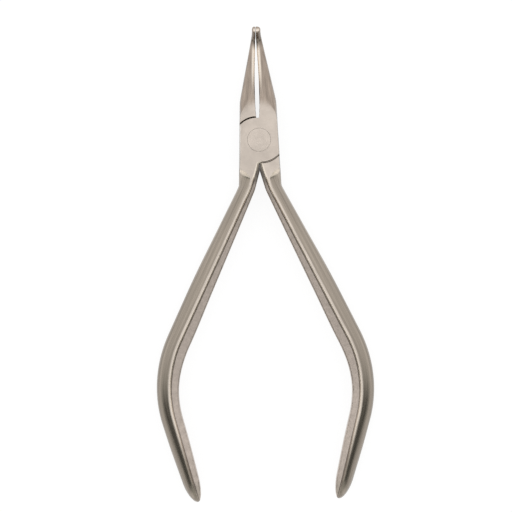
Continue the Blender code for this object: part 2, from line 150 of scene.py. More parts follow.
# Share of the crest's length, width of the back, width of the web
HANDLE_WIDTHS = (
    (0.00, 3.25 * MM, 1.20 * MM),
    (0.08, 3.30 * MM, 1.50 * MM),
    (0.20, 3.65 * MM, 1.95 * MM),
    (0.39, 4.15 * MM, 2.60 * MM),
    (0.54, 4.05 * MM, 3.10 * MM),
    (0.70, 3.95 * MM, 2.50 * MM),
    (0.82, 3.65 * MM, 2.40 * MM),
    (0.92, 3.05 * MM, 2.10 * MM),
    (1.00, 2.50 * MM, 1.70 * MM),
)

# Section shapes
HANDLE_BACK_POWER = 1.7
BEAK_POWER = 2.8
GRINDING_ALLOWANCE = 0.5 * MM
SCOOP_CENTRE = (8.3 * MM, -14.2 * MM)
SCOOP_RADIUS = 6.2 * MM
LAND_SHARE = 0.11
CHEEK_SHARE = 0.94
LAND_SOFTNESS = 0.06
BEAK_RUN_OUT_RISE = 0.137 / MM
FORGED_HALF_HEIGHT = 12.0 * MM
FACING_MARGIN = 2.0 * MM

# How finely the pieces are drawn
ARC_POINTS = 20
CORNER_POINTS = 5
FLARE_STATIONS = 24
BLADE_STATIONS = 20
BEND_STATIONS = 24
TIP_EDGE_STATIONS = 8
HANDLE_STEP = 1.0 * MM
ROOT_STEP = 0.3 * MM
TURN_STEP = math.radians(1)
BORE_SIDES = 160
VOXEL = 0.1 * MM
EDGE_WEAR = 0.5
EDGE_WEAR_PASSES = 3
KEPT_SHARE = 0.2
WELD_DISTANCE = 0.001 * MM
SHARP_ANGLE = math.radians(38)
BOX_MARGIN = 0.002 * MM
GRAIN_BLOCK = 4000
GAP_SAMPLES = 80

# The forging's skin on the webs
WEB_SKIN_START = 0.4 * MM
WEB_SKIN_FULL = 0.8 * MM
FORGING_LUMP = 1.6 * MM
FORGING_GRAIN = 0.7 * MM
FORGING_GRAIN_SHARE = 0.5
FORGING_DEPTH = 0.05 * MM

# Colours of the steel
BACK_COLOUR = (0.345, 0.298, 0.248)
BEAK_COLOUR = (0.376, 0.310, 0.258)
# Painted shade on the joint's side walls
SIDE_SHADE_COLOUR = (0.26, 0.225, 0.195)
GROUND_COLOUR = (0.625, 0.55, 0.485)
MACHINED_COLOUR = (0.66, 0.60, 0.54)
WEB_COLOUR = (0.44, 0.378, 0.335)
# The colour of all painted highlights and painted light
PAINTED_LIGHT_COLOUR = (0.86, 0.765, 0.66)
WEB_ROUGHNESS = 0.36
GROUND_ROUGHNESS = 0.3
SCOOP_ROUGHNESS = 0.6
BACK_ROUGHNESS = (0.2, 0.32)

# Where each finish, painted highlight and painted shade starts and ends on the levers. Places, widths,
# heights and reaches are in millimetres, slopes are shares of the normal, and tones are two places with the
# tone at each.
BEAK_PLACES = (-0.1, 0.1)
HANDLE_PLACES = (-6.2, -7.2)
JOINT_MIDDLE = (-0.5, 0.5)
HANDLE_FACE_HEIGHTS = (3.92, 3.97)
HANDLE_FACE_SLOPES = (0.88, 0.97)
# The ground colour of the handles' lands and their painted highlights fade out towards the handles' ends
CREST_FADE = (-97.0, -80.0)
BEAK_FACE_HEIGHTS = (3.3, 3.9)
BEAK_FACE_SLOPES = (0.75, 0.97)
BEAK_FACE_REACH = (12.6, 9.2)
BEAK_FACE_STRETCH = 1.3
# Painted highlights on the rounded edges beside the ground faces
EDGE_HIGHLIGHT_SLOPES = (0.5, 0.75, 0.90, 0.95)
EDGE_HIGHLIGHT_HEIGHTS = (3.84, 3.92)
EDGE_HIGHLIGHT_REACH = (9.5, 7.5)
EDGE_HIGHLIGHT_SHARE = 0.95
# Painted shade on the beaks' steep sides
STEEP_SHADE_TONE = 0.72
MACHINED_REACH = (8.0, 7.8)
MACHINED_WIDTH = (5.7, 5.5)
# Painted light on the scoops' walls that face the handles' ends, which are also rougher
SCOOP_SLOPES = (-0.05, -0.25)
SCOOP_REACH = (-18.0, -16.0, -9.0, -8.0)
# Painted shade over the beaks' necks below the bent tips
NECK_PLACES = (26.5, 29.5, 31.2, 31.8)
NECK_SHADE_TONE = 0.65
# Painted shade: the backs darker towards the handles' ends
LOWER_BACK_SHADE_TONES = (-58.0, -80.0, 1.0, 0.82)
# Painted light: the webs lighter towards the handles' ends
LOWER_WEB_LIGHT_TONES = (-55.0, -85.0, 1.0, 1.2)
# Painted shade: the webs darker at the crotch between the handles
CROTCH_SHADE_TONES = (-14.0, -10.5, 1.0, 0.45)
# Painted shade: a dark line at the foot of the step from each crest down to its web
STEP_SHADE_PLACES = (-0.62, -0.5, -0.38, -0.26)
STEP_SHADE_TONE = 0.45
WEB_PLACES = (-0.2, -0.45)
# Painted highlight along each beak's ridge beside the gap
RIDGE_PLACES = (-0.2, 0.0, 0.6, 1.1)
RIDGE_REACH = (12.0, 22.0, 26.0, 29.0)
# Painted highlight along each handle's crest
CREST_HIGHLIGHT_PLACES = (-0.6, -0.3, 0.05, 0.3)
CREST_HIGHLIGHT_HEIGHTS = (3.3, 3.6)
# Painted shade on the joint's side walls
SIDE_PLACES = (5.5, 5.72)
SIDE_REACH = (-11.0, -9.5, 8.0, 10.0)
BEAK_SIDE_SLOPES = (0.1, 0.65)
# Painted highlight on the end faces of the bent tips
TIP_FACE_SLOPES = (0.92, 0.98)
TIP_FACE_PLACES = (33.0, 32.2)
TIP_REACH = (29.0, 30.0)

# All noise, and the span of it that is drawn out to the lowest and highest value
NOISE_DETAIL = 2.0
NOISE_ROUGHNESS = 0.5
NOISE_SPAN = (0.25, 0.75)

# The grain of each finish. Streaks and scratches have their lumps to the millimetre along, across and up.
# The others have their lumps to the millimetre, and then the lowest and highest value.
BROAD_STREAKS = (0.03, 1.0, 1.0)
BROAD_STREAK_TONES = (0.74, 1.30)
FINE_STREAKS = (0.08, 4.0, 4.0)
FINE_STREAK_TONES = (0.93, 1.07)
SCRATCHES = (0.4, 12.0, 12.0)
WEB_LUMPS = (0.8, 0.9, 1.1)
WEB_SPECKS = (2.2, 0.9, 1.1)
WEB_PITS = (2.5, 0.0, 1.0)
GROUND_PITS = (3.0, 0.0, 0.3)
GROUND_DRIFT = (0.11, 0.85, 1.17)
GROUND_LUMPS = (0.55, 0.95, 1.05)
GROUND_SPECKS = (2.5, 0.97, 1.03)

# The rings on the rivet's head, and the depth of all relief in millimetres
RIVET_RINGS = 6.0
RING_WAVER = 0.1
BUMP_DEPTH = 0.006

# Studio. The card's angles are in degrees from straight up and round from +X.
WHITE = (1, 1, 1, 1)
FLOOR_REACH = 3.0
FLOOR_DROP = 0.02 * MM
FLOOR_GLOW = 0.88
FLOOR_TONE = 0.16
TENT_LEVEL = 1.0
CARD_DISTANCE = 1.5
CARD_ZENITHS = (18, 30, 72, 98)
LEFT_CARD = (178, 192, 208, 222)
RIGHT_CARD = (318, 332, 348, 362)
CARD_STEP = 2
CARD_COLOUR = (0.97, 1.0, 0.96, 1)
CARD_TONE = 0.14
BETWEEN_TONE = 0.8

# Camera: straight above, turned by the photograph's small roll
CAMERA_DISTANCE = 0.85
FIELD_WIDTH = 151.1 * MM
SENSOR_WIDTH = 36.0
FIELD_CENTRE = (-1.78 * MM, -34.12 * MM)
CAMERA_ROLL = math.radians(-1.5)
CLIP_START = 0.01

# Sockets of a Mix node that carry its factor and its colours
MIX_FACTOR = 0
MIX_FIRST = 6
MIX_SECOND = 7
MIX_RESULT = 2

HALF = JOINT_THICKNESS / 2
FAR = 2 * CHEEK_RADIUS
TIP_DIRECTION = (0, math.cos(TIP_ANGLE), math.sin(TIP_ANGLE))


def collection_named(name):
    made = bpy.data.collections.new(name)
    bpy.context.scene.collection.children.link(made)
    return made


def add_object(name, mesh, collection):
    obj = bpy.data.objects.new(name, mesh)
    collection.objects.link(obj)
    return obj


def combine(target, other, operation):
    modifier = target.modifiers.new(other.name, "BOOLEAN")
    modifier.operation = operation
    modifier.object = other
    modifier.solver = "EXACT"


def evaluated_mesh(obj):
    bpy.context.view_layer.update()
    graph = bpy.context.evaluated_depsgraph_get()
    return bpy.data.meshes.new_from_object(obj.evaluated_get(graph))


def apply_modifiers(obj):
    mesh = evaluated_mesh(obj)
    obj.modifiers.clear()
    obj.data = mesh


def slope_at(rows, i, column):
    """The slope of a column at row i: the harmonic mean of the slopes beside it, so it can't overshoot."""
    slopes = []
    for k in (i - 1, i):
        if 0 <= k < len(rows) - 1:
            slopes.append((rows[k + 1][column] - rows[k][column]) / (rows[k + 1][0] - rows[k][0]))
    if len(slopes) == 1:
        return slopes[0]
    if slopes[0] * slopes[1] <= 0:
        return 0
    return 2 * slopes[0] * slopes[1] / (slopes[0] + slopes[1])


def between(rows, place):
    """The values at a place between rows of (place, value, ...), on a smooth curve through the rows."""
    if place <= rows[0][0]:
        return rows[0][1:]
    if place >= rows[-1][0]:
        return rows[-1][1:]
    i = max(k for k in range(len(rows) - 1) if rows[k][0] <= place)
    span = rows[i + 1][0] - rows[i][0]
    t = (place - rows[i][0]) / span
    values = []
    for column in range(1, len(rows[0])):
        start = (1 + 2 * t) * (1 - t) ** 2 * rows[i][column]
        end = t * t * (3 - 2 * t) * rows[i + 1][column]
        leave = t * (1 - t) ** 2 * span * slope_at(rows, i, column)
        arrive = t * t * (t - 1) * span * slope_at(rows, i + 1, column)
        values.append(start + end + leave + arrive)
    return values


def ramp(value, start, end):
    t = min(max((value - start) / (end - start), 0), 1)
    return t * t * (3 - 2 * t)


def soft_max(a, b, softness):
    return (a + b + math.hypot(a - b, softness)) / 2


def soft_min(a, b, softness):
    return (a + b - math.hypot(a - b, softness)) / 2


def joint_side(y):
    """The distance of the joint's side from the middle: a little wider towards the handles."""
    return JOINT_HALF_WIDTH - SIDE_SPREAD * y


def outer_curve(inner, width, height, top, power):
    """Points from the widest place of a rounded back up to its crown, as (across, up)."""
    points = []
    for j in range(ARC_POINTS):
        up = top * math.sin(math.pi / 2 * j / ARC_POINTS)
        across = (1 - (up / height) ** power) ** (1 / power)
        points.append((inner + width * across, up))
    points.append((inner, top))
    return points


def mirrored_ring(upper):
    """A closed section from its upper half, which runs from the back's widest point to the inner side."""
    return upper + [(across, -up) for across, up in reversed(upper[1:])]


def loft(name, rings, collection):
    """A closed body through rings of points, with a flat cap on each end."""
    count = len(rings[0])
    points = [point for ring in rings for point in ring]
    faces = [tuple(range(count)), tuple(range(len(points) - count, len(points)))]
    for i in range(len(rings) - 1):
        for j in range(count):
            k = (j + 1) % count
            faces.append((i * count + j, i * count + k, (i + 1) * count + k, (i + 1) * count + j))
    mesh = bpy.data.meshes.new(name)
    mesh.from_pydata(points, [], faces)
    made = bmesh.new()
    made.from_mesh(mesh)
    bmesh.ops.recalc_face_normals(made, faces=made.faces)
    bmesh.ops.triangulate(made, faces=made.faces)
    made.to_mesh(mesh)
    made.free()
    return add_object(name, mesh, collection)


def plate(name, outline, low, high, collection):
    """A flat outline in plan, as a solid from one height to another."""
    curve = bpy.data.curves.new(name, "CURVE")
    curve.dimensions = "2D"
    curve.fill_mode = "BOTH"
    curve.extrude = (high - low) / 2
    spline = curve.splines.new("POLY")
    spline.points.add(len(outline) - 1)
    for point, (x, y) in zip(spline.points, outline):
        point.co = (x, y, 0, 1)
    spline.use_cyclic_u = True
    drawn = bpy.data.objects.new(name + "_outline", curve)
    collection.objects.link(drawn)
    drawn.location.z = (high + low) / 2
    mesh = evaluated_mesh(drawn)
    made = bmesh.new()
    made.from_mesh(mesh)
    bmesh.ops.remove_doubles(made, verts=made.verts, dist=WELD_DISTANCE)
    bmesh.ops.recalc_face_normals(made, faces=made.faces)
    made.to_mesh(mesh)
    made.free()
    obj = add_object(name, mesh, collection)
    obj.matrix_world = drawn.matrix_world
    bpy.data.objects.remove(drawn, do_unlink=True)
    return obj


def turned(name, profile, collection):
    """A body turned about Z from a profile of (radius, height), listed from the top down."""
    drawn = bpy.data.meshes.new(name)
    points = [(radius, 0, height) for radius, height in profile]
    drawn.from_pydata(points, [(i, i + 1) for i in range(len(points) - 1)], [])
    obj = add_object(name, drawn, collection)
    screw = obj.modifiers.new("turn", "SCREW")
    screw.steps = BORE_SIDES
    screw.render_steps = BORE_SIDES
    screw.use_merge_vertices = True
    screw.merge_threshold = WELD_DISTANCE
    apply_modifiers(obj)
    return obj


def crest_route():
    """Samples along a handle's crest, as (x, y, lean of the crest from -Y)."""
    end_drop = HANDLE_REACH + CREST_ELBOW[1]
    end = (CREST_ELBOW[0] - end_drop * math.tan(HANDLE_TURN_IN), -HANDLE_REACH)
    inside = (CREST_START[0], CHEEK_RADIUS + CHEEK_OFFSET_Y)
    corners = [Vector(corner) for corner in (inside, CREST_START, CREST_ROOT, CREST_ELBOW, end)]
    radii = [0, HANDLE_ROOT_RADIUS / 2, HANDLE_ROOT_RADIUS, HANDLE_ELBOW_RADIUS, 0]
    root = Vector(CREST_ROOT)
    samples = []
    start = corners[0]
    for i in range(1, len(corners)):
        run = (corners[i] - corners[i - 1]).normalized()
        lean = math.atan2(run.x, -run.y)
        stop = corners[i]
        turn = 0
        if radii[i]:
            following = (corners[i + 1] - corners[i]).normalized()
            turn = math.atan2(following.x, -following.y) - lean
            stop = corners[i] - run * radii[i] * math.tan(abs(turn) / 2)
        step = ROOT_STEP if corners[i] == root else HANDLE_STEP
        pieces = max(1, math.ceil((stop - start).length / step))
        for k in range(pieces):
            point = start.lerp(stop, k / pieces)
            samples.append((point.x, point.y, lean))
        start = stop
        pieces = math.ceil(abs(turn) / TURN_STEP)
        for k in range(pieces):
            part = turn * k / pieces
            chord = 2 * radii[i] * math.sin(abs(part) / 2)
            heading = lean + part / 2
            point = stop + chord * Vector((math.sin(heading), -math.cos(heading)))
            samples.append((point.x, point.y, lean + part))
        if pieces:
            chord = 2 * radii[i] * math.sin(abs(turn) / 2)
            heading = lean + turn / 2
            start = stop + chord * Vector((math.sin(heading), -math.cos(heading)))
    samples.append((corners[-1].x, corners[-1].y, samples[-1][2]))
    return samples


def with_lengths(samples):
    """The samples with their distance along the crest, counted from the crotch."""
    lengths = []
    along = 0
    for i, (x, y, lean) in enumerate(samples):
        if i:
            along += math.hypot(x - samples[i - 1][0], y - samples[i - 1][1])
        lengths.append((along, x, y, lean))
    crotch = max(length for length, x, y, lean in lengths if y >= CREST_START[1])
    return [(length - crotch, x, y, lean) for length, x, y, lean in lengths]


def handle_rings(side):
    """Sections of one handle from inside the joint to its rounded end.

    side is 1 on the right and -1 on the left.
    """
    samples = with_lengths(crest_route())
    total = samples[-1][0]
    rounded = total - HANDLE_END_ROUNDING
    stations = [sample for sample in samples if sample[0] < rounded]
    last, before = samples[-1], samples[-2]
    for k in range(ARC_POINTS):
        length = rounded + HANDLE_END_ROUNDING * math.sin(math.pi / 2 * k / ARC_POINTS)
        t = (length - before[0]) / (last[0] - before[0])
        x = before[1] + (last[1] - before[1]) * t
        y = before[2] + (last[2] - before[2]) * t
        stations.append((length, x, y, last[3]))
    return [handle_ring(side, station, total) for station in stations]


def ground_share(x, y, tilt, back):
    """How much of the back's width the ground face takes, from the crest out to the scoop's arc.

    Beyond the scoop it is nearly the whole width at the cheek, and a thin land along the rest of the
    handle.
    """
    if y < SCOOP_CENTRE[1]:
        return LAND_SHARE
    across, along = SCOOP_CENTRE[0] - x, SCOOP_CENTRE[1] - y
    nearest = across * math.cos(tilt) + along * math.sin(tilt)
    chord_squared = SCOOP_RADIUS**2 - across**2 - along**2 + nearest**2
    if chord_squared <= 0:
        return CHEEK_SHARE
    reach = (nearest - math.sqrt(chord_squared)) / back
    return min(soft_max(reach, LAND_SHARE, LAND_SOFTNESS), CHEEK_SHARE)


def handle_ring(side, station, total):
    """One section of a handle: a rounded back, a thin ground land, then a step down to a forged web."""
    length, x, y, lean = station
    crotch = -CREST_START[1]
    back, web = between(HANDLE_WIDTHS, length / total)
    tilt = lean * ramp(-y, -CHEEK_RADIUS, SECTION_TURN_END)
    wall = (joint_side(y) - x) / math.cos(tilt)
    back = soft_max(back, wall, HANDLE_SIDE_SOFTNESS)
    buried = WEB_ROOT_OVERLAP * (1 - ramp(-y, crotch, CHEEK_RADIUS + CHEEK_OFFSET_Y))
    web = min(web, (x - CROTCH_HALF_GAP) / math.cos(tilt) + buried)
    fine = min(1, web / HANDLE_WIDTHS[1][2])
    remaining = max(total - length, 0) / HANDLE_END_ROUNDING
    end = math.sqrt(1 - (1 - min(remaining, 1)) ** 2)
    power = HANDLE_BACK_POWER
    height = HALF / (1 - ground_share(x, y, tilt, back) ** power) ** (1 / power) * end
    top = min(height, HALF + GRINDING_ALLOWANCE)
    sunk = ramp(-y, crotch - STEP_START, crotch + STEP_FULL) * end
    floor = top - CREST_STEP * sunk
    edge = floor - WEB_FALL * sunk
    upper = outer_curve(0, back * end, height, top, power)
    rounding = WEB_EDGE_ROUNDING * fine * end
    upper.append((-STEP_RUN * fine * end, floor))
    for k in range(CORNER_POINTS + 1):
        angle = math.pi / 2 * k / CORNER_POINTS
        inward = rounding * (1 - math.sin(angle)) - web * end
        upper.append((inward, edge - rounding * (1 - math.cos(angle))))
    points = []
    for across, up in mirrored_ring(upper):
        px = x + across * math.cos(tilt)
        py = y + across * math.sin(tilt)
        points.append((side * px, py, HALF + up))
    return points


def spread(start, end, count):
    """Evenly spaced places from the start on, with the end left to whatever follows."""
    return [start + (end - start) * k / count for k in range(count)]


def beak_bend_start():
    """Where the beak starts to bend, so that the tip ends at the beak's reach."""
    bend = TIP_BEND_RADIUS * math.sin(TIP_ANGLE)
    straight = TIP_LENGTH * math.cos(TIP_ANGLE)
    return BEAK_REACH - bend - straight - TIP_THICKNESS / 2 * math.sin(TIP_ANGLE)


def beak_stations():
    """Distances along the beak's middle line: close together where the form turns."""
    bend_start = beak_bend_start()
    bend_end = bend_start + TIP_BEND_RADIUS * TIP_ANGLE
    end = bend_end + TIP_LENGTH
    gap_start = CHEEK_RADIUS - BEAK_GAP_COVER
    stations = [CHEEK_FLAT - CHEEK_OFFSET_Y - CHEEK_RADIUS, 0, gap_start - BEAK_ROOT_RUN]
    stations += spread(gap_start, BEAK_SHOULDER, FLARE_STATIONS)
    stations += spread(BEAK_SHOULDER, bend_start, BLADE_STATIONS)
    stations += spread(bend_start, bend_end, BEND_STATIONS)
    stations += [bend_end, end - TIP_LENGTH / 2]
    for k in range(TIP_EDGE_STATIONS):
        stations.append(end - TIP_ROUNDING * (1 - math.sin(math.pi / 2 * k / TIP_EDGE_STATIONS)))
    return stations + [end]


def gap_edge(side, half):
    """How far right of the pivot the right beak's edge of the gap is, or how far left the left beak's."""
    return half - side * BEAK_GAP_SHIFT


def beak_gap_rows():
    """Distances along the beak with half the width of the gap there."""
    gap_start = CHEEK_RADIUS - BEAK_GAP_COVER
    return (
        (gap_start - BEAK_ROOT_RUN, -BEAK_ROOT_OVERLAP),
        (gap_start, BEAK_ROOT_GAP_HALF),
        (BEAK_SHOULDER, BEAK_GAP_HALF),
        (BEAK_GAP_CLOSING, BEAK_GAP_HALF),
        (beak_bend_start() + TIP_BEND_RADIUS * TIP_ANGLE, TIP_HALF_GAP),
    )


def beak_ring(side, s):
    """One section of a beak, square to its middle line at a distance s from the pivot."""
    bend_start = beak_bend_start()
    bend_end = bend_start + TIP_BEND_RADIUS * TIP_ANGLE
    beyond = s - bend_start
    taper = (joint_side(BEAK_SHOULDER) - BEAK_NECK_HALF_WIDTH) / (bend_start - BEAK_SHOULDER)
    tapered = soft_max(BEAK_NECK_HALF_WIDTH - taper * beyond, TIP_HALF_WIDTH, TIP_WIDTH_SOFTNESS)
    width = soft_min(joint_side(s), tapered, BEAK_SHOULDER_SOFTNESS)
    thinning = (HALF - BEAK_NECK_THICKNESS / 2) / (bend_start - BEAK_SHOULDER)
    thinned = BEAK_NECK_THICKNESS / 2 - thinning * beyond
    height = soft_max(thinned, TIP_THICKNESS / 2, TIP_THICKNESS_SOFTNESS)
    height += BEAK_RUN_OUT_RISE * max(0, BEAK_SHOULDER - s) ** 2
    height = min(height, FORGED_HALF_HEIGHT)
    top = min(height, HALF + GRINDING_ALLOWANCE)
    inner = gap_edge(side, between(beak_gap_rows(), s)[0])
    chamfer = BEAK_EDGE_CHAMFER * ramp(s, BEAK_SHOULDER, BEAK_CHAMFER_FULL)
    chamfer *= 1 - (1 - TIP_EDGE_SHARE) * ramp(s, bend_start, bend_end)
    left = bend_end + TIP_LENGTH - s
    if left < TIP_ROUNDING:
        drawn_in = TIP_ROUNDING - math.sqrt(max(TIP_ROUNDING**2 - (TIP_ROUNDING - left) ** 2, 0))
        width -= drawn_in
        height -= drawn_in
        top -= drawn_in
    upper = outer_curve(inner + chamfer, width - inner - chamfer, height, top, BEAK_POWER)
    upper.append((inner, top - chamfer))
    turn = min(max(beyond / TIP_BEND_RADIUS, 0), TIP_ANGLE)
    straight = max(s - bend_end, 0)
    y = min(s, bend_start) + TIP_BEND_RADIUS * math.sin(turn) + straight * math.cos(turn)
    z = HALF + TIP_BEND_RADIUS * (1 - math.cos(turn)) + straight * math.sin(turn)
    points = []
    for across, up in mirrored_ring(upper):
        points.append((side * across, y - up * math.sin(turn), z + up * math.cos(turn)))
    return points


def arc(centre, radius, start, end):
    count = math.ceil(abs(end - start) / TURN_STEP)
    points = []
    for k in range(count + 1):
        angle = start + (end - start) * k / count
        points.append((centre[0] + radius * math.cos(angle), centre[1] + radius * math.sin(angle)))
    return points


def turned_half(outline):
    """The outline turned half a turn about the pivot."""
    return [(-x, -y) for x, y in outline]


def mirrored(outline, side):
    return [(side * x, y) for x, y in outline]


def corner_outline(wall):
    """What is cut away outside a cheek's arc at the upper left, up to a wall right of the middle."""
    centre = (-CHEEK_OFFSET_X, -CHEEK_OFFSET_Y)
    stop = math.acos((wall - centre[0]) / CHEEK_RADIUS)
    edge = arc(centre, CHEEK_RADIUS, math.pi, stop)
    return edge + [(wall, FAR), (-FAR, FAR), (-FAR, centre[1])]


def lap_outline():
    """The pocket that the other cheek turns in, between shoulders at the upper right and lower left."""
    centre = (CHEEK_OFFSET_X, -CHEEK_OFFSET_Y)
    radius = CHEEK_RADIUS + SHOULDER_GAP
    start = math.acos(-centre[0] / radius)
    edge = arc(centre, radius, start, 0)
    half = [(0, FAR)] + edge + [(FAR, centre[1]), (FAR, -FAR)]
    return half + turned_half(half)


def bore_profile():
    """The rivet's bore from the front face down to the rear face, grown by the running clearance."""
    grow = RUNNING_CLEARANCE / math.cos(COUNTERSINK_ANGLE / 2)
    shank = SHANK_RADIUS + RUNNING_CLEARANCE
    head = HEAD_RADIUS + grow
    rear = REAR_HEAD_RADIUS + grow
    front_depth = HEAD_RIM + (head - shank) / math.tan(COUNTERSINK_ANGLE)
    rear_depth = HEAD_RIM + (rear - shank) / math.tan(COUNTERSINK_ANGLE)
    return [
        (0, JOINT_THICKNESS + GRINDING_ALLOWANCE),
        (head, JOINT_THICKNESS + GRINDING_ALLOWANCE),
        (head, JOINT_THICKNESS - HEAD_RIM),
        (shank, JOINT_THICKNESS - front_depth),
        (shank, rear_depth),
        (rear, HEAD_RIM),
        (rear, -GRINDING_ALLOWANCE),
        (0, -GRINDING_ALLOWANCE),
    ]


def serration_cutter(name, side, cutters):
    """A comb of V teeth that cuts the serrations across a tip's gripping face."""
    grip = gap_edge(side, TIP_HALF_GAP)
    crest = grip + SERRATION_CLEANUP
    run = SERRATIONS * SERRATION_PITCH
    outline = [(grip - SERRATION_PITCH, run), (grip - SERRATION_PITCH, 0), (crest, 0)]
    for k in range(SERRATIONS):
        outline.append((grip + SERRATION_DEPTH, (k + 0.5) * SERRATION_PITCH))
        outline.append((crest, (k + 1) * SERRATION_PITCH))
    comb = plate(name + "_comb", mirrored(outline, side), -TIP_THICKNESS, TIP_THICKNESS, cutters)
    start = (TIP_LENGTH - run) / 2
    bend_centre = Vector((0, beak_bend_start(), HALF + TIP_BEND_RADIUS))
    tip = Matrix.Translation(bend_centre) @ Matrix.Rotation(TIP_ANGLE, 4, "X")
    comb.matrix_world = tip @ Matrix.Translation((0, start, -TIP_BEND_RADIUS)) @ comb.matrix_world
    return comb


def facing_cutters(cutters):
    """What grinding takes off the front and rear of the joint and the handles."""
    y_low = -HANDLE_REACH - FAR
    y_high = BEAK_SHOULDER + FACING_MARGIN
    x = CREST_ELBOW[0] + FAR
    outline = [(-x, y_low), (x, y_low), (x, y_high), (-x, y_high)]
    front = plate("front_facing", outline, JOINT_THICKNESS, JOINT_THICKNESS + FAR, cutters)
    rear = plate("rear_facing", outline, -FAR, 0, cutters)
    return [front, rear]


def worn_edges(obj):
    """Redraws the piece as an even fine mesh, rounds its edges a little and thins the mesh out again."""
    remesh = obj.modifiers.new("even", "REMESH")
    remesh.mode = "VOXEL"
    remesh.voxel_size = VOXEL
    remesh.use_smooth_shade = True
    smooth = obj.modifiers.new("wear", "SMOOTH")
    smooth.factor = EDGE_WEAR
    smooth.iterations = EDGE_WEAR_PASSES
    thin = obj.modifiers.new("thin", "DECIMATE")
    thin.ratio = KEPT_SHARE


def handle_grain(places, beak_side):
    """How far along the handle's crest each place lies, and how far outside of it."""
    samples = with_lengths(crest_route())
    lengths = np.array([sample[0] for sample in samples])
    route = np.array([(-beak_side * sample[1], sample[2]) for sample in samples])
    runs = route[1:] - route[:-1]
    spans = np.hypot(runs[:, 0], runs[:, 1])
    runs = runs / spans[:, None]
    along, across = [], []
    for block in np.array_split(places, max(1, len(places) // GRAIN_BLOCK)):
        offset = block[:, None, :] - route[None, :-1, :]
        forward = np.clip((offset * runs).sum(axis=2), 0, spans)
        distance = np.linalg.norm(offset - forward[:, :, None] * runs, axis=2)
        nearest = distance.argmin(axis=1)
        row = np.arange(len(block))
        run = runs[nearest]
        offset = offset[row, nearest]
        outside = -beak_side * (offset[:, 1] * run[:, 0] - offset[:, 0] * run[:, 1])
        along.append(lengths[nearest] + forward[row, nearest])
        across.append(np.copysign(distance[row, nearest], outside))
    return np.concatenate(along), np.concatenate(across)


def beak_grain(places, beak_side):
    """How far along the beak each place lies, and how far out from its edge of the gap."""
    bend_start = beak_bend_start()
    end = bend_start + TIP_BEND_RADIUS * TIP_ANGLE + TIP_LENGTH
    distances = np.linspace(0, end, GAP_SAMPLES)
    edges = [gap_edge(beak_side, between(beak_gap_rows(), s)[0]) for s in distances]
    drawn = np.interp(distances, (0, bend_start, end), (0, bend_start, BEAK_REACH))
    return places[:, 1], beak_side * places[:, 0] - np.interp(places[:, 1], drawn, edges)


def forge(points, across, down, shift):
    """Raises and sinks the web a little, as the surface of a forging is.

    The shift gives each lever its own lumps.
    """
    offset = Vector((shift, 0, 0))
    for i in np.flatnonzero((across < -WEB_SKIN_START) & (down > CHEEK_RADIUS + WEB_SKIN_START)):
        x, y, z = points[i]
        lump = noise.noise(Vector((x, y, z)) / FORGING_LUMP + offset)
        lump += FORGING_GRAIN_SHARE * noise.noise(Vector((x, y, z)) / FORGING_GRAIN + offset)
        upward = math.copysign(1, z - HALF)
        fade = ramp(-across[i], WEB_SKIN_START, WEB_SKIN_FULL)
        fade *= ramp(abs(z - HALF), WEB_SKIN_FULL, 2 * WEB_SKIN_FULL)
        points[i, 2] += upward * fade * FORGING_DEPTH * lump


def finish_mesh(obj, beak_side):
    """Keeps the piece inside the solids' box and gives each point its place along and across the lever."""
    mesh = obj.data
    points = np.empty(len(mesh.vertices) * 3, dtype=np.float32)
    mesh.vertices.foreach_get("co", points)
    points = points.reshape(-1, 3).astype(np.float64)
    along, across = handle_grain(points[:, :2], beak_side)
    reach, out = beak_grain(points[:, :2], beak_side)
    forge(points, across, -points[:, 1], beak_side)
    points = np.clip(points, np.array(cad_low) + BOX_MARGIN, np.array(cad_high) - BOX_MARGIN)
    mesh.vertices.foreach_set("co", points.astype(np.float32).ravel())
    for name, first, second in (("handle_grain", along, across), ("beak_grain", reach, out)):
        layer = mesh.attributes.new(name, "FLOAT_VECTOR", "POINT")
        values = np.stack((first, second, points[:, 2]), axis=1) / MM
        layer.data.foreach_set("vector", values.astype(np.float32).ravel())
    mesh.update()


def make_lever(name, beak_side, is_front, parts, cutters, facings, bore):
    """A lever: its beak on one side, its handle on the other, and a half-thickness cheek between them."""
    lever = loft(name, handle_rings(-beak_side), parts)
    low, high = -HALF, JOINT_THICKNESS + HALF
    beak_wall = gap_edge(beak_side, BEAK_ROOT_GAP_HALF) + BEAK_WALL_OVERLAP
    corner = mirrored(corner_outline(beak_wall), beak_side)
    combine(lever, plate(name + "_beak_corner", corner, low, high, cutters), "DIFFERENCE")
    beak = loft(name + "_beak", [beak_ring(beak_side, s) for s in beak_stations()], cutters)
    corner = mirrored(turned_half(corner_outline(CREST_START[0] + CROTCH_WALL_OVERLAP)), beak_side)
    combine(beak, plate(name + "_crotch_corner", corner, low, high, cutters), "DIFFERENCE")
    combine(lever, beak, "UNION")
    if is_front:
        high = HALF + LAP_GAP / 2
    else:
        low = HALF - LAP_GAP / 2
    lap = plate(name + "_lap", mirrored(lap_outline(), beak_side), low, high, cutters)
    combine(lever, lap, "DIFFERENCE")
    for facing in facings:
        combine(lever, facing, "DIFFERENCE")
    combine(lever, serration_cutter(name, beak_side, cutters), "DIFFERENCE")
    worn_edges(lever)
    combine(lever, bore, "DIFFERENCE")
    apply_modifiers(lever)
    lever.data.shade_smooth()
    lever.data.set_sharp_from_angle(angle=SHARP_ANGLE)
    finish_mesh(lever, beak_side)
    return lever


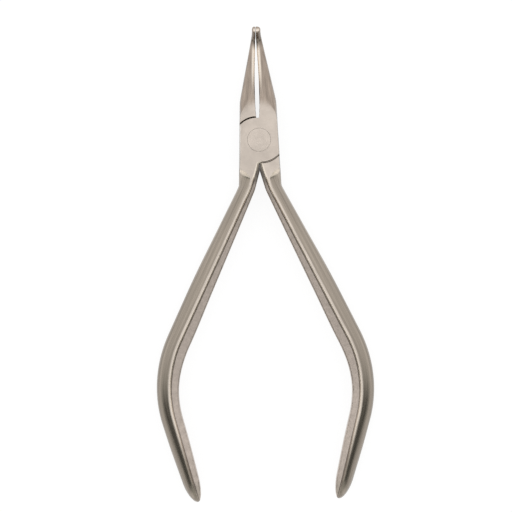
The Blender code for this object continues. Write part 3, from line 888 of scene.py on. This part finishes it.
class Shading:
    """Makes a material's nodes. Lengths in it are in millimetres."""

    def __init__(self, name):
        self.material = bpy.data.materials.new(name)
        self.material.use_nodes = True
        self.tree = self.material.node_tree
        self.shader = self.tree.nodes["Principled BSDF"]

    def node(self, kind, inputs=None, **settings):
        made = self.tree.nodes.new(kind)
        for key, value in settings.items():
            setattr(made, key, value)
        for key, value in (inputs or {}).items():
            if isinstance(value, bpy.types.NodeSocket):
                self.tree.links.new(value, made.inputs[key])
            else:
                made.inputs[key].default_value = value
        return made

    def math(self, operation, *values):
        return self.node("ShaderNodeMath", dict(enumerate(values)), operation=operation).outputs[0]

    def folded(self, operation, values):
        result = values[0]
        for value in values[1:]:
            result = self.math(operation, result, value)
        return result

    def times(self, *values):
        return self.folded("MULTIPLY", values)

    def most(self, *values):
        return self.folded("MAXIMUM", values)

    def rise(self, value, start, end, low=0.0, high=1.0):
        """A smooth step of a value from low at the start to high at the end."""
        inputs = {"Value": value, "From Min": start, "From Max": end, "To Min": low, "To Max": high}
        return self.node("ShaderNodeMapRange", inputs, interpolation_type="SMOOTHSTEP").outputs["Result"]

    def blend(self, factor, first, second):
        """A smooth step from the first value, where the factor is 0, to the second, where it is 1."""
        return self.rise(factor, 0.0, 1.0, first, second)

    def within(self, value, start, full, last, end):
        """1 between full and last, 0 before start and after end."""
        return self.times(self.rise(value, start, full), self.rise(value, last, end, 1.0, 0.0))

    def colour(self, factor, first, second):
        made = self.node("ShaderNodeMix", data_type="RGBA")
        for key, value in ((MIX_FACTOR, factor), (MIX_FIRST, first), (MIX_SECOND, second)):
            if isinstance(value, bpy.types.NodeSocket):
                self.tree.links.new(value, made.inputs[key])
            else:
                made.inputs[key].default_value = (*value, 1) if isinstance(value, tuple) else value
        return made.outputs[MIX_RESULT]

    def brighten(self, colour, factor):
        return self.node("ShaderNodeVectorMath", {0: colour, "Scale": factor}, operation="SCALE").outputs[0]

    def place(self):
        """The object's own coordinates in millimetres."""
        source = self.node("ShaderNodeTexCoord").outputs["Object"]
        return self.node("ShaderNodeVectorMath", {0: source, "Scale": 1 / MM}, operation="SCALE").outputs[0]

    def reach(self, x, y, stretch):
        """The distance from the pivot, with x stretched."""
        x = self.times(x, stretch)
        return self.math("SQRT", self.math("ADD", self.times(x, x), self.times(y, y)))

    def axes(self, vector):
        return self.node("ShaderNodeSeparateXYZ", {0: vector}).outputs

    def grain(self, name):
        return self.node("ShaderNodeAttribute", attribute_name=name).outputs["Vector"]

    def stretched(self, vector, *scale):
        return self.node("ShaderNodeVectorMath", {0: vector, 1: scale}, operation="MULTIPLY").outputs[0]

    def noise(self, vector, scale, low, high):
        """Noise from low to high, with this many lumps to the millimetre."""
        inputs = {"Vector": vector, "Scale": scale, "Detail": NOISE_DETAIL, "Roughness": NOISE_ROUGHNESS}
        made = self.node("ShaderNodeTexNoise", inputs).outputs["Fac"]
        start, end = NOISE_SPAN
        inputs = {"Value": made, "From Min": start, "From Max": end, "To Min": low, "To Max": high}
        return self.node("ShaderNodeMapRange", inputs).outputs["Result"]

    def bump(self, height, depth):
        """Bump with this depth in millimetres."""
        inputs = {"Height": height, "Strength": 1.0, "Distance": depth * MM}
        made = self.node("ShaderNodeBump", inputs).outputs["Normal"]
        self.tree.links.new(made, self.shader.inputs["Normal"])

    def surface(self, colour, roughness):
        self.tree.links.new(colour, self.shader.inputs["Base Color"])
        self.tree.links.new(roughness, self.shader.inputs["Roughness"])
        self.shader.inputs["Metallic"].default_value = 1
        return self.material


def lever_steel():
    """Satin backs with lengthwise polishing, flat ground faces, forged webs, painted highlights on crests
    and edges, and painted shade.
    """
    made = Shading("lever_steel")
    place = made.place()
    x, y, z = made.axes(place)
    normal = made.node("ShaderNodeTexCoord").outputs["Normal"]
    upright = made.math("ABSOLUTE", made.axes(normal)["Z"])
    height = made.math("ABSOLUTE", made.math("SUBTRACT", z, HALF / MM))
    handle, beak = made.grain("handle_grain"), made.grain("beak_grain")
    across = made.axes(handle)["Y"]
    out = made.axes(beak)["Y"]
    on_beak = made.rise(y, *BEAK_PLACES)
    on_handle = made.rise(y, *HANDLE_PLACES)

    # Where each finish, painted highlight and painted shade lies: 1 in its own places and 0 elsewhere
    on_web = made.times(on_handle, made.rise(across, *WEB_PLACES))
    off_web = made.math("SUBTRACT", 1.0, on_web)
    handle_face = made.times(
        made.rise(height, *HANDLE_FACE_HEIGHTS),
        made.rise(upright, *HANDLE_FACE_SLOPES),
        made.rise(y, *CREST_FADE),
    )
    beak_face = made.times(
        made.rise(height, *BEAK_FACE_HEIGHTS),
        made.rise(upright, *BEAK_FACE_SLOPES),
        made.rise(made.reach(x, y, BEAK_FACE_STRETCH), *BEAK_FACE_REACH),
    )
    ground = made.blend(made.rise(y, *JOINT_MIDDLE), handle_face, beak_face)
    # Painted highlights on the rounded edges beside the ground faces and along the handles' crests, fading
    # towards the handles' ends
    edge = made.times(
        made.within(upright, *EDGE_HIGHLIGHT_SLOPES),
        made.rise(height, *EDGE_HIGHLIGHT_HEIGHTS),
        made.rise(y, *EDGE_HIGHLIGHT_REACH),
    )
    crest_highlight = made.times(on_handle, made.within(across, *CREST_HIGHLIGHT_PLACES), made.rise(height, *CREST_HIGHLIGHT_HEIGHTS))
    edge_highlight = made.times(made.most(edge, crest_highlight), made.rise(y, *CREST_FADE), EDGE_HIGHLIGHT_SHARE)
    # Painted shade on the joint's side walls
    side = made.math("ADD", made.math("ABSOLUTE", x), made.times(y, SIDE_SPREAD))
    side = made.times(made.rise(side, *SIDE_PLACES), made.within(y, *SIDE_REACH))
    machined = made.times(
        made.rise(made.reach(x, y, 1.0), *MACHINED_REACH),
        made.rise(made.math("ABSOLUTE", x), *MACHINED_WIDTH),
        off_web,
    )
    # Painted light lifting the dark reflection on the scoops' walls that face the handles' ends; they are
    # rougher there too
    scoop = made.times(
        made.rise(made.axes(normal)["Y"], *SCOOP_SLOPES),
        made.within(y, *SCOOP_REACH),
        off_web,
    )
    # Painted highlight along each beak's ridge beside the gap
    ridge_highlight = made.times(on_beak, made.within(out, *RIDGE_PLACES), made.within(y, *RIDGE_REACH))
    # Painted highlight on the end faces of the bent tips
    facing = made.node("ShaderNodeVectorMath", {0: normal, 1: TIP_DIRECTION}, operation="DOT_PRODUCT")
    tip_highlight = made.times(
        made.rise(y, *TIP_REACH),
        made.rise(facing.outputs["Value"], *TIP_FACE_SLOPES),
        made.rise(y, *TIP_FACE_PLACES),
    )
    # All painted highlights and painted light together
    painted_light = made.most(ridge_highlight, tip_highlight, edge_highlight, scoop)
    # Painted shade over the beaks' necks below the bent tips
    neck_shade = made.times(made.within(y, *NECK_PLACES), made.math("SUBTRACT", 1.0, tip_highlight))

    # Colour
    grain = made.colour(on_beak, handle, beak)
    broad = made.noise(made.stretched(grain, *BROAD_STREAKS), 1.0, *BROAD_STREAK_TONES)
    fine = made.noise(made.stretched(grain, *FINE_STREAKS), 1.0, *FINE_STREAK_TONES)
    # Painted shade: the beaks' steep sides darker than their tops
    shaded = made.blend(on_beak, 1.0, made.rise(upright, *BEAK_SIDE_SLOPES, STEEP_SHADE_TONE, 1.0))
    # The backs' tone: random streaks, with painted shade on the beaks' steep sides and towards the handles'
    # ends
    tone = made.times(broad, fine, shaded, made.rise(y, *LOWER_BACK_SHADE_TONES))
    back = made.brighten(made.colour(on_beak, BACK_COLOUR, BEAK_COLOUR), tone)
    # The webs' colour: random lumps and specks of the forging's skin, with painted light and painted shade
    skin_and_painted_light = made.times(
        made.noise(place, *WEB_LUMPS),
        made.noise(place, *WEB_SPECKS),
        # Painted light: the webs lighter towards the handles' ends
        made.rise(y, *LOWER_WEB_LIGHT_TONES),
        # Painted shade: the webs darker at the crotch between the handles
        made.rise(y, *CROTCH_SHADE_TONES),
        # Painted shade: a dark line at the foot of the step from each crest down to its web
        made.blend(made.within(across, *STEP_SHADE_PLACES), 1.0, STEP_SHADE_TONE),
    )
    steel = made.colour(on_web, back, made.brighten(WEB_COLOUR, skin_and_painted_light))
    steel = made.colour(machined, steel, MACHINED_COLOUR)
    steel = made.colour(ground, steel, made.brighten(GROUND_COLOUR, ground_tone(made, place)))
    steel = made.brighten(steel, made.blend(neck_shade, 1.0, NECK_SHADE_TONE))
    steel = made.colour(painted_light, steel, PAINTED_LIGHT_COLOUR)
    steel = made.colour(side, steel, SIDE_SHADE_COLOUR)

    # Roughness and relief
    rough = made.noise(made.stretched(grain, *FINE_STREAKS), 1.0, *BACK_ROUGHNESS)
    rough = made.blend(on_web, rough, WEB_ROUGHNESS)
    rough = made.blend(ground, rough, GROUND_ROUGHNESS)
    rough = made.blend(scoop, rough, SCOOP_ROUGHNESS)
    scratches = made.noise(made.stretched(grain, *SCRATCHES), 1.0, 0.0, 1.0)
    relief = made.blend(on_web, scratches, made.noise(place, *WEB_PITS))
    relief = made.blend(ground, relief, made.noise(place, *GROUND_PITS))
    made.bump(relief, BUMP_DEPTH)
    return made.surface(steel, rough)


def ground_tone(made, place):
    """Slow and fine differences of tone over a ground face."""
    return made.times(
        made.noise(place, *GROUND_DRIFT),
        made.noise(place, *GROUND_LUMPS),
        made.noise(place, *GROUND_SPECKS),
    )


def rivet_steel():
    """The rivet's head, ground flush with the joint and polished round its axis."""
    made = Shading("rivet_steel")
    place = made.place()
    x, y, _ = made.axes(place)
    inputs = {"X": made.reach(x, y, 1.0), "Y": made.times(x, RING_WAVER), "Z": made.times(y, RING_WAVER)}
    rings = made.node("ShaderNodeCombineXYZ", inputs).outputs[0]
    turned_marks = made.noise(rings, RIVET_RINGS, *FINE_STREAK_TONES)
    mottled = made.times(ground_tone(made, place), turned_marks)
    made.bump(turned_marks, BUMP_DEPTH)
    return made.surface(made.brighten(GROUND_COLOUR, mottled), made.noise(place, 1.0, *BACK_ROUGHNESS))


def make_floor():
    """A white table under the pliers. The camera and reflections see it lit a little more."""
    mesh = bpy.data.meshes.new("floor")
    corners = ((-1, -1), (1, -1), (1, 1), (-1, 1))
    points = [(x * FLOOR_REACH, y * FLOOR_REACH, 0) for x, y in corners]
    mesh.from_pydata(points, [], [(0, 1, 2, 3)])
    floor = add_object("floor", mesh, bpy.context.scene.collection)
    floor.location.z = cad_low.z - FLOOR_DROP
    made = Shading("white_table")
    made.tree.nodes.remove(made.shader)
    glow = made.times(seen_ray(made), FLOOR_GLOW)
    emission = made.node("ShaderNodeEmission", {"Color": WHITE, "Strength": glow})
    diffuse = made.node("ShaderNodeBsdfDiffuse", {"Color": (FLOOR_TONE, FLOOR_TONE, FLOOR_TONE, 1)})
    both = made.node("ShaderNodeAddShader", {0: emission.outputs[0], 1: diffuse.outputs[0]})
    output = made.tree.nodes["Material Output"]
    made.tree.links.new(both.outputs[0], output.inputs["Surface"])
    mesh.materials.append(made.material)


def seen_ray(made):
    """1 for rays from the camera, and for what metal and glass show."""
    path = made.node("ShaderNodeLightPath").outputs
    return made.most(path["Is Camera Ray"], path["Is Glossy Ray"], path["Is Transmission Ray"])


def make_world():
    """An even white tent all round."""
    world = bpy.data.worlds.new("tent")
    bpy.context.scene.world = world
    world.use_nodes = True
    background = world.node_tree.nodes["Background"]
    background.inputs["Color"].default_value = WHITE
    background.inputs["Strength"].default_value = TENT_LEVEL


def inside(value, start, full, last, end):
    """1 between full and last, 0 before start and after end."""
    return ramp(value, start, full) * (1 - ramp(value, last, end))


def card_tone(zenith, azimuth):
    """How light the card is in one direction. 1 is as light as the tent."""
    dark = max(inside(azimuth, *LEFT_CARD), inside(azimuth, *RIGHT_CARD))
    middle = inside(azimuth, *LEFT_CARD[:2], *RIGHT_CARD[2:])
    tone = 1 + (BETWEEN_TONE - 1) * middle
    tone += (CARD_TONE - tone) * dark
    return 1 + (tone - 1) * inside(zenith, *CARD_ZENITHS)


def make_dark_card():
    """Two dark flags with soft edges on the handles' side, seen in reflections only."""
    zeniths = np.arange(CARD_ZENITHS[0], CARD_ZENITHS[-1] + CARD_STEP, CARD_STEP)
    azimuths = np.arange(LEFT_CARD[0], RIGHT_CARD[-1] + CARD_STEP, CARD_STEP)
    points, tones = [], []
    for zenith in zeniths:
        height = CARD_DISTANCE * math.cos(math.radians(zenith))
        flat = CARD_DISTANCE * math.sin(math.radians(zenith))
        for azimuth in azimuths:
            turn = math.radians(azimuth)
            points.append((flat * math.cos(turn), flat * math.sin(turn), height))
            tones.append(card_tone(zenith, azimuth))
    faces = []
    for i in range(len(zeniths) - 1):
        for j in range(len(azimuths) - 1):
            a = i * len(azimuths) + j
            b = a + len(azimuths)
            faces.append((a, a + 1, b + 1, b))
    mesh = bpy.data.meshes.new("dark_card")
    mesh.from_pydata(points, [], faces)
    mesh.attributes.new("tone", "FLOAT", "POINT").data.foreach_set("value", tones)
    card = add_object("dark_card", mesh, bpy.context.scene.collection)
    card.location.y = FIELD_CENTRE[1]
    made = Shading("grey_felt")
    made.tree.nodes.remove(made.shader)
    tone = made.node("ShaderNodeAttribute", attribute_name="tone").outputs["Fac"]
    emission = made.node("ShaderNodeEmission", {"Color": CARD_COLOUR, "Strength": tone})
    made.tree.links.new(emission.outputs[0], made.tree.nodes["Material Output"].inputs["Surface"])
    mesh.materials.append(made.material)
    card.visible_camera = False
    card.visible_diffuse = False
    card.visible_shadow = False


def make_camera():
    data = bpy.data.cameras.new("camera")
    data.sensor_width = SENSOR_WIDTH
    data.lens = SENSOR_WIDTH * CAMERA_DISTANCE / FIELD_WIDTH
    data.clip_start = CLIP_START
    camera = bpy.data.objects.new("camera", data)
    bpy.context.scene.collection.objects.link(camera)
    camera.location = (FIELD_CENTRE[0], FIELD_CENTRE[1], HALF + CAMERA_DISTANCE)
    camera.rotation_euler = (0, 0, CAMERA_ROLL)
    bpy.context.scene.camera = camera


make_camera()
parts = collection_named("pliers")
cutters = collection_named("shaping")
facings = facing_cutters(cutters)
bore = turned("bore", bore_profile(), cutters)
front = make_lever("front_lever_steel", 1, True, parts, cutters, facings, bore)
rear = make_lever("rear_lever_steel", -1, False, parts, cutters, facings, bore)
for obj in list(cutters.objects):
    bpy.data.objects.remove(obj, do_unlink=True)
bpy.data.collections.remove(cutters)

steel = lever_steel()
for obj, body, node in ((front, "front", "front_lever"), (rear, "rear", "rear_lever")):
    obj.data.materials.clear()
    obj.data.materials.append(steel)
    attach(obj, body)
    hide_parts(node)
rivet = frame["nodes"]["pivot_rivet"]
rivet.data.materials.clear()
rivet.data.materials.append(rivet_steel())

make_floor()
make_world()
make_dark_card()
bpy.context.scene.view_settings.view_transform = "Standard"
